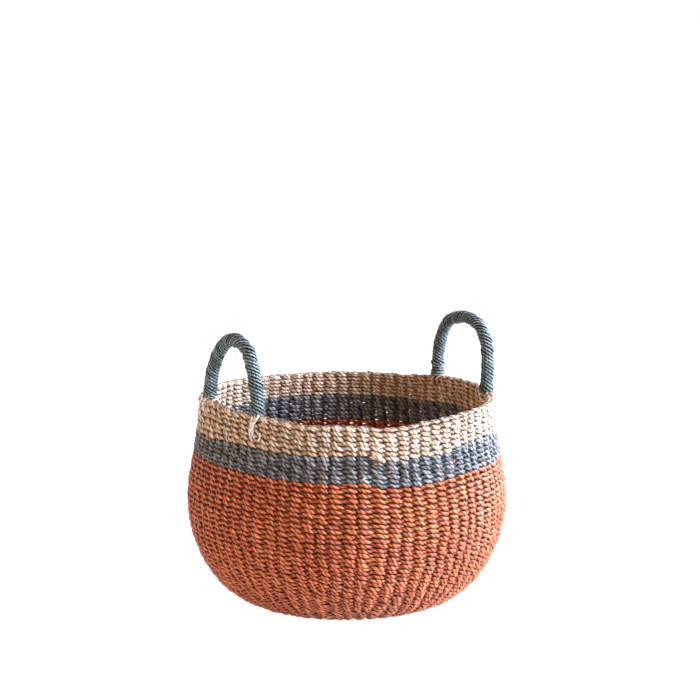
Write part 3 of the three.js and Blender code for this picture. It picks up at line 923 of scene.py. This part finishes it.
for side, handle in HANDLES.items():
    body = f"{side}_handle"
    strands = wound(handle, handle["wrap_from"], None, WRAPS, WRAP_LEAD, WRAP_RADIUS,
                    handle["collar"], handle["flare"])
    winding = make_twines(f"{side}_handle_wrap", blue_grey_twine, body,
                          strands, strands=0)
    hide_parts(f"{side}_handle_winding")
    if side == "right":
        strands = wound(handle, WHIP_FROM, WHIP_TO, 1, WHIP_LEAD, WHIP_RADIUS, 0, WHIP_FLARE)
        whipping = make_twines("right_rear_whip", blue_grey_twine, body,
                               strands, strands=0)
        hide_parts("right_rear_whipping")
    line = evenly(rounded(handle["line"], ARCH_SPANS), CORE_STEP)[0][2:-2]
    core_rings = rope(in_plane(handle, line), (handle["tube"] - CORE_INSET) * MM, CORE_LAY)
    core = make_twines(f"{side}_handle_rope", natural_abaca, body,
                       [(core_rings, EVEN_TONE, CORE_SUNK)])
    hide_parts(f"{side}_handle_core")

# %% [markdown]
# ## Lashings
# Each foot is tied down with strands of undyed twine. They come out through the wall below the
# rim, go up over the foot's eye and back down on the other face. At three feet, where the strands
# catch the light, they are drawn in a paler copy of the undyed abaca as painted light, and at the
# rear right foot, which lies in shade, in the same abaca as the rim. A point of a strand is given
# in stakes beside the foot, and in millimetres above a height near the rim and out from the middle
# of the wall.

# %% The lashings
LASHINGS = {
    "left_front": [
        [(-0.3, -7, 0), (-0.3, -7, -4), (-0.3, -1, -6), (-0.25, 3, -4.5), (-0.2, 3.4, 0),
         (-0.12, 1.2, 5.2), (-0.14, -2.5, 6.6), (-0.2, -5.5, 7), (-0.22, -9, 7.2),
         (-0.28, -13, 7), (-0.33, -17, 6.6), (-0.34, -21.5, 3)],
        [(-0.1, -7, 0), (-0.1, -7, -4), (-0.15, -1, -6), (-0.05, 3, -4.5), (0.1, 3.4, 0),
         (0.24, 0.8, 5.6), (0.16, -2.5, 6.8), (0.04, -5.5, 7.2), (-0.06, -8.5, 7.4),
         (-0.08, -12.5, 7.2), (-0.1, -16.5, 6.6), (-0.12, -21, 3)],
        [(-0.2, -7, 0), (-0.2, -7, -4), (-0.2, -1, -6), (-0.15, 3, -4.5), (-0.05, 3.4, 0),
         (0.02, 0.8, 5), (0, -3, 6), (-0.06, -6.5, 7.6), (-0.14, -10.5, 7.8),
         (-0.18, -14.5, 7.2), (-0.22, -18, 3)],
        [(0.09, -13.5, 3), (0.2, -14.6, 5), (0.36, -15.2, 5.6), (0.45, -17, 5.6),
         (0.36, -19.6, 5.6), (0.24, -23, 3.5)]],
    "left_rear": [
        [(0.1, -14, 0), (0.1, -14, -4), (0, -6, -6.2), (0, 1, -6), (-0.2, 4.5, -2),
         (-0.35, 4.5, 4), (-0.7, 0, 7.2), (-0.9, -3, 8.2), (-1, -6, 8.6), (-1, -9, 8.8),
         (-1, -12, 8.2), (-1, -15, 7), (-1, -18, 3)],
        [(0.3, -14, 0), (0.3, -14, -4), (0.2, -6, -6.2), (0.2, 0, -6), (0.1, 3, -2),
         (0.05, 3, 4), (-0.05, 0, 6.5), (-0.3, -3, 7.4), (-0.35, -6, 7.4), (-0.3, -8.5, 6.6),
         (-0.28, -11, 3)]],
    "right_front": [
        [(-0.1, -12, 0), (-0.1, -12, -4), (0.2, -6, -6.2), (0.3, 2, -5.5), (0.4, 7, 0),
         (0.5, 3, 5.5), (0.4, -4.5, 7), (0, -9, 7.8), (-0.2, -15, 8), (-0.3, -19.5, 7.4),
         (-0.3, -23, 3)],
        [(0.2, -12, 0), (0.2, -12, -4), (0.5, -6, -6.2), (0.6, 2, -5.5), (0.7, 7, 0),
         (0.8, 3, 5.5), (0.7, -4, 7.2), (0.35, -9, 7.4), (0.15, -14, 7), (0.1, -18, 3)]],
    "right_rear": [
        [(0.2, -9, 0), (0.2, -9, -4), (0.14, -6, -6), (0.1, -2, -6.2), (0.02, 0.6, -4.5),
         (-0.1, 1.6, 0), (-0.1, 0, 5), (-0.1, -4, 6), (-0.1, -10, 6), (0, -16, 2)],
        [(-0.2, -9, 0), (-0.2, -9, -4), (-0.22, -6, -6), (-0.25, -2, -6.2), (-0.36, 0.8, -4.5),
         (-0.5, 1.8, 0), (-0.5, 0.4, 5), (-0.45, -4, 6), (-0.4, -10, 6), (-0.3, -16, 2)]],
}
FEET = {"left_front": ("left", 43), "left_rear": ("left", -43), "right_rear": ("right", 51),
        "right_front": ("right", -51)}
LASHING_HEIGHT, LASHING_RADIUS, LASHING_GROOVE = 227, 1.3, 0.75
LASHING_SPANS, TWINE_LAY = 5, 0.012

for name, (side, beside) in FEET.items():
    handle = HANDLES[side]
    angle = math.atan2(beside, handle["reach"]) + handle["facing"]
    foot = (angle - SEAM) / math.tau * COLUMNS
    twines = []
    for points in LASHINGS[name]:
        line = rounded(points, LASHING_SPANS)
        line = on_wall(foot + line[:, 0], way_up(LASHING_HEIGHT) + line[:, 1], line[:, 2])
        rings = rope(line, LASHING_RADIUS * MM, TWINE_LAY, LASHING_GROOVE)
        twines.append((rings, RNG.random(), 0))
    # Painted light: the paler copy goes on the lit strands, and the rear right foot, in shade,
    # keeps the undyed abaca.
    twine = natural_abaca if name == "right_rear" else pale_fibre_and_painted_light_abaca
    piece = make_twines(f"{name}_twine", twine, "basket", twines)
    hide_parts(f"{name}_lashing")

# %% [markdown]
# ## Loose ends
# Where a new colour is laid in, the twine's end makes a small lump, and short bits of the last
# colour or of pale fibre stay between the stitches. They are short twines too. A point of theirs
# is given in stakes from the seam, the way up the wall and out from its middle.

# %% The loose ends
LOOSE_ENDS = {
    "natural": (natural_abaca, "natural_abaca", 1.9,
                [[(-0.3, 328, 3), (-0.1, 327, 6.5), (0.1, 325.5, 7.6), (0.3, 324, 6.6),
                  (0.45, 322.5, 3)]]),
    "rust": (rust_abaca, "rust_abaca", 0.65,
             [[(-0.3, 318.2, 3.5), (-0.19, 318.7, 5.8), (-0.05, 319.4, 3.5)],
              [(0.56, 310.2, 3.5), (0.66, 311, 6), (0.8, 311.8, 3.5)],
              [(4.77, 305.6, 3.5), (4.87, 306.1, 5.8), (5, 306.8, 3.5)],
              [(6.24, 310.4, 3.5), (6.34, 311.1, 5.8), (6.46, 311.9, 3.5)]]),
    "pale": (pale_fibre_and_painted_light_abaca, "natural_abaca", 0.8,
             [[(70.95, 302.6, 3.5), (71.05, 303.5, 6), (71.15, 304.6, 3.5)]]),
}
LOOSE_SPANS, LOOSE_TONE = 6, 0.8

for name, (twine, slot, thickness, lines) in LOOSE_ENDS.items():
    twines = []
    for points in lines:
        line = rounded(points, LOOSE_SPANS)
        line = on_wall(line[:, 0], line[:, 1], line[:, 2])
        twines.append((rope(line, thickness * MM, TWINE_LAY), LOOSE_TONE, 0))
    make_twines(f"{name}_loose_ends", twine, "basket", twines)
